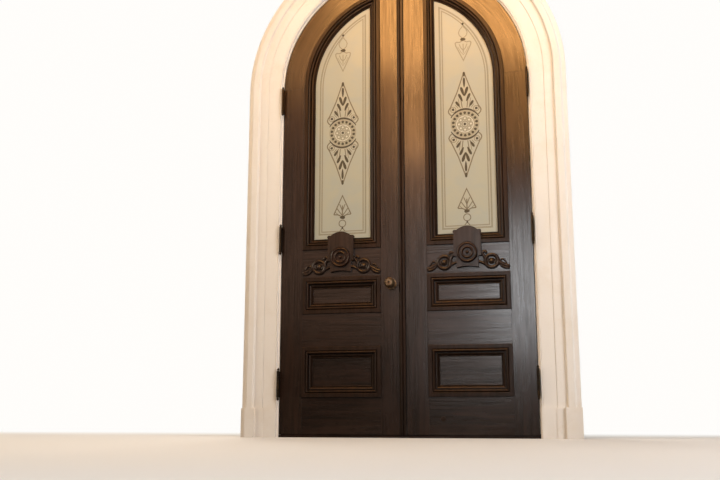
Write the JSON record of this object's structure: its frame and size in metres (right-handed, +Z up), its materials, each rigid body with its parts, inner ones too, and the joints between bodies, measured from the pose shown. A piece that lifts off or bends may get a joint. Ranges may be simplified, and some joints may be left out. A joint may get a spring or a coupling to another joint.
{
  "type": "double arched glazed entrance door",
  "caption": "Round-arched double door: glazed and panelled wooden leaves with carved crests, hinged in a white moulded casing.",
  "frame": {"origin": "on the floor, under the middle of the threshold, in the plane of the leaves' front faces", "axes": "+Z up, -Y out of the front face towards which the leaves open, +X to the right seen from the front"},
  "size_m": [1.984, 0.2548, 3.1438],
  "materials": {
    "varnished_wood": "gloss varnish",
    "rosette_wood": "gloss varnish",
    "white_paint": "satin paint",
    "etched_glass": "frosted and etched",
    "aged_brass": "aged",
    "dark_bronze": "dark patina"
  },
  "bodies": {
    "frame": {"threshold": "varnished_wood", "left_jamb": "white_paint", "right_jamb": "white_paint", "arched_head": "white_paint", "left_stop": "white_paint", "right_stop": "white_paint", "arched_stop": "white_paint", "front_left_casing": "white_paint", "front_right_casing": "white_paint", "front_arched_casing": "white_paint", "back_left_casing": "white_paint", "back_right_casing": "white_paint", "back_arched_casing": "white_paint", "plinth_blocks": "white_paint", "left_frame_hinges": "dark_bronze", "right_frame_hinges": "dark_bronze"},
    "left_leaf": {"left_hinge_stile": "varnished_wood", "left_meeting_stile": "varnished_wood", "left_arched_rail": "varnished_wood", "left_frieze_rail": "varnished_wood", "left_middle_rail": "varnished_wood", "left_bottom_rail": "varnished_wood", "left_upper_panel": "varnished_wood", "left_lower_panel": "varnished_wood", "left_panel_mouldings": "varnished_wood", "left_glass": "etched_glass", "left_glass_moulding": "varnished_wood", "left_crest": "varnished_wood", "left_rosette": "rosette_wood", "left_leaf_hinges": "dark_bronze", "astragal": "varnished_wood", "knob_roses": "aged_brass"},
    "right_leaf": {"right_hinge_stile": "varnished_wood", "right_meeting_stile": "varnished_wood", "right_arched_rail": "varnished_wood", "right_frieze_rail": "varnished_wood", "right_middle_rail": "varnished_wood", "right_bottom_rail": "varnished_wood", "right_upper_panel": "varnished_wood", "right_lower_panel": "varnished_wood", "right_panel_mouldings": "varnished_wood", "right_glass": "etched_glass", "right_glass_moulding": "varnished_wood", "right_crest": "varnished_wood", "right_rosette": "rosette_wood", "right_leaf_hinges": "dark_bronze"},
    "knob": {"knobs": "aged_brass"}
  },
  "joints": [
    {"name": "left_leaf_swing", "type": "hinge", "parent": "frame", "child": "left_leaf", "pos_m": [-0.7595, -0.03, 0], "axis": [0, 0, -1], "range_deg": [0, 100]},
    {"name": "right_leaf_swing", "type": "hinge", "parent": "frame", "child": "right_leaf", "pos_m": [0.7595, -0.03, 0], "axis": [0, 0, 1], "range_deg": [0, 100]},
    {"name": "knob_turn", "type": "hinge", "parent": "left_leaf", "child": "knob", "pos_m": [-0.077, 0.02225, 0.892], "axis": [0, -1, 0], "range_deg": [-60, 60], "stiffness_Nm_per_rad": 0.4}
  ]
}
